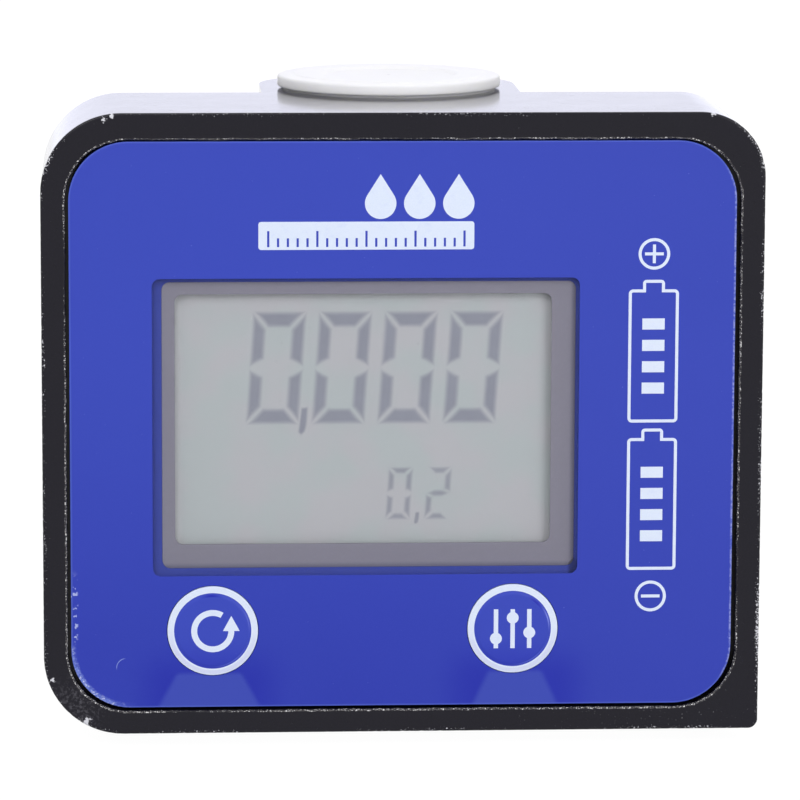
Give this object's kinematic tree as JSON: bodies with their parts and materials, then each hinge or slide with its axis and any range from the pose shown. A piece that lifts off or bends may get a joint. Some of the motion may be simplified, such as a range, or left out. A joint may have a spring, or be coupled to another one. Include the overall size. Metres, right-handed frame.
{
  "type": "digital turbine flow meter",
  "caption": "Black cast box with a blue keypad label and grey digital display, in front of a vertical flow tube with a turbine inside and pull-off port plugs.",
  "frame": {"origin": "on the flow axis, where the inlet port's thread starts", "axes": "+Z along the flow, from inlet to outlet; +X to the right as seen facing the display; +Y from the display to the back of the flow tube"},
  "size_m": [0.09, 0.048, 0.0822],
  "materials": {
    "black_casting": "satin black paint, worn at the edges",
    "black_plastic": "matte",
    "blue_film": "satin",
    "blue_plastic": "satin",
    "white_print": "satin",
    "clear_pane": "gloss",
    "grey_bezel": "matte",
    "display_glass": "gloss",
    "dark_segments": "matte",
    "reflector": "matte",
    "black_rubber": "matte",
    "red_rubber": "matte",
    "green_board": "satin",
    "board_part": "matte",
    "bright_steel": "polished",
    "brass_metal": "satin",
    "cell_jacket": "satin",
    "white_plastic": "satin",
    "magnet": "satin",
    "clear_white_plastic": "translucent satin"
  },
  "bodies": {
    "meter": {"housing": "black_casting", "flow_tube": "black_casting", "cover_plate": "blue_plastic", "cover_gasket": "black_rubber", "front_label": "blue_film", "label_print": "white_print", "window_pane": "clear_pane", "display_bezel": "grey_bezel", "front_glass": "display_glass", "display_digits": "dark_segments", "rear_glass": "display_glass", "display_reflector": "reflector", "display_cushion": "black_rubber", "connector_strip": "black_rubber", "circuit_board": "green_board", "driver_chip": "black_plastic", "board_parts": "board_part", "clock_crystal": "bright_steel", "pickup_sensor": "black_plastic", "ground_strip": "brass_metal", "reset_switch": "black_plastic", "cal_switch": "black_plastic", "cover_screws": "bright_steel", "screw_inserts": "brass_metal", "board_screws": "bright_steel", "battery_contact": "brass_metal", "contact_insulator": "white_plastic", "inlet_support": "white_plastic", "outlet_support": "white_plastic", "turbine_shaft": "bright_steel", "retaining_ring": "bright_steel"},
    "reset_button": {"reset_key": "blue_film", "reset_mark": "white_print", "reset_clip": "bright_steel"},
    "cal_button": {"cal_key": "blue_film", "cal_mark": "white_print", "cal_clip": "bright_steel"},
    "reset_pin": {"reset_plunger": "white_plastic"},
    "cal_pin": {"cal_plunger": "white_plastic"},
    "turbine": {"turbine_rotor": "white_plastic", "rotor_magnets": "magnet", "rotor_bushes": "black_plastic"},
    "battery_stack": {"upper_cell": "cell_jacket", "lower_cell": "cell_jacket", "battery_spring": "bright_steel"},
    "cap": {"battery_cap": "black_casting", "cap_seal": "red_rubber", "cap_contact": "brass_metal"},
    "inlet_cover": {"inlet_plug": "clear_white_plastic"},
    "outlet_cover": {"outlet_plug": "clear_white_plastic"}
  },
  "joints": [
    {"name": "reset_press", "type": "slide", "parent": "meter", "child": "reset_button", "axis": [0, 1, 0], "range_m": [0, 0.00035], "stiffness_N_per_m": 2000},
    {"name": "reset_pin_press", "type": "slide", "parent": "meter", "child": "reset_pin", "axis": [0, 1, 0], "range_m": [0, 0.00035]},
    {"name": "cal_press", "type": "slide", "parent": "meter", "child": "cal_button", "axis": [0, 1, 0], "range_m": [0, 0.00035], "stiffness_N_per_m": 2000},
    {"name": "cal_pin_press", "type": "slide", "parent": "meter", "child": "cal_pin", "axis": [0, 1, 0], "range_m": [0, 0.00035]},
    {"name": "turbine_spin", "type": "hinge", "parent": "meter", "child": "turbine", "pos_m": [0, 0, 0.03555], "axis": [0, 0, 1], "continuous": true},
    {"name": "battery_drop", "type": "slide", "parent": "meter", "child": "battery_stack", "axis": [0, 0, -1], "range_m": [0, 0.0075]},
    {"name": "cap_turn", "type": "hinge", "parent": "battery_stack", "child": "cap", "pos_m": [0.0315, -0.0182, -0.0036], "axis": [0, 0, -1], "range_deg": [0, 1800]},
    {"name": "inlet_plug_pull", "type": "slide", "parent": "meter", "child": "inlet_cover", "axis": [0, 0, -1], "range_m": [0, 0.06]},
    {"name": "outlet_plug_pull", "type": "slide", "parent": "meter", "child": "outlet_cover", "axis": [0, 0, 1], "range_m": [0, 0.06]}
  ],
  "couplings": [
    {"joint": "reset_pin_press", "follows": "reset_press", "ratio": 1},
    {"joint": "cal_pin_press", "follows": "cal_press", "ratio": 1},
    {"joint": "battery_drop", "follows": "cap_turn", "m_per_rad": 0.0002387}
  ]
}
